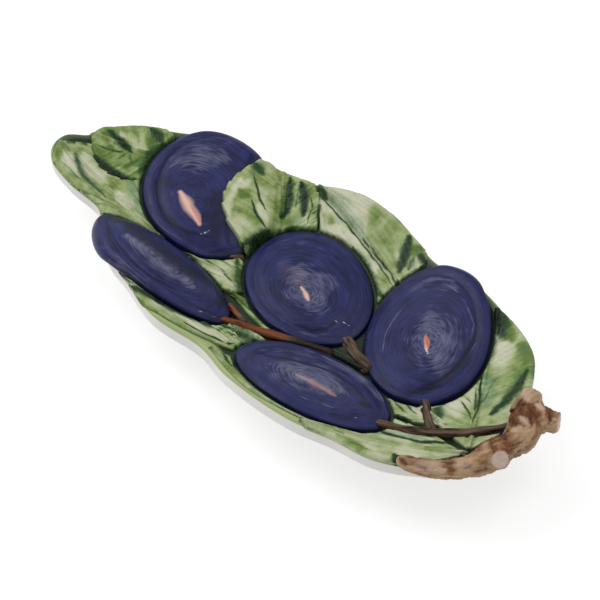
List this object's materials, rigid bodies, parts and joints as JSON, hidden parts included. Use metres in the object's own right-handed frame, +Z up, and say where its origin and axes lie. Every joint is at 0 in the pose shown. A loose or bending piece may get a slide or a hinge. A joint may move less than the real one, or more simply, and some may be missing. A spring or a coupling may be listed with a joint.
{
  "type": "serving platter",
  "caption": "Long, lobed glazed earthenware platter with relief plums and veined leaves in its shallow bowl and a gnarled branch over one end, for serving food.",
  "frame": {"origin": "centre of the platter's box, on the surface that its foot ring stands on", "axes": "+X along the platter towards the branch end, +Y towards the far side, +Z up out of the bowl"},
  "size_m": [0.3048, 0.1304, 0.0407],
  "materials": {
    "white_glaze": "warm white tin glaze, satin gloss",
    "plum_glaze": "brushed blue-violet underglaze, satin gloss",
    "leaf_glaze": "brushed green underglaze with dark veins, satin gloss",
    "pale_leaf_glaze": "thin green wash over cream, satin gloss",
    "twig_glaze": "dark brown underglaze, satin gloss",
    "branch_glaze": "tan brown underglaze, satin gloss"
  },
  "bodies": {
    "root": {"dish_body": "white_glaze", "branch": "branch_glaze", "main_twig": "twig_glaze", "far_right_stalk": "twig_glaze", "centre_stalk": "twig_glaze", "near_left_stalk": "twig_glaze", "near_left_spur": "twig_glaze", "far_left_stalk": "twig_glaze", "plum_far_left": "plum_glaze", "plum_near_left": "plum_glaze", "plum_centre": "plum_glaze", "plum_near_right": "plum_glaze", "plum_far_right": "plum_glaze", "far_middle_leaf": "leaf_glaze", "far_left_leaf": "leaf_glaze", "right_end_leaf": "pale_leaf_glaze", "near_right_leaf": "leaf_glaze", "twig_leaf": "leaf_glaze", "centre_left_leaf": "leaf_glaze", "stalk_leaf_upper": "leaf_glaze", "stalk_leaf_lower": "leaf_glaze", "far_right_leaf": "pale_leaf_glaze", "tip_leaf": "pale_leaf_glaze", "near_left_leaf": "leaf_glaze", "near_rim_leaf": "leaf_glaze"}
  },
  "joints": []
}
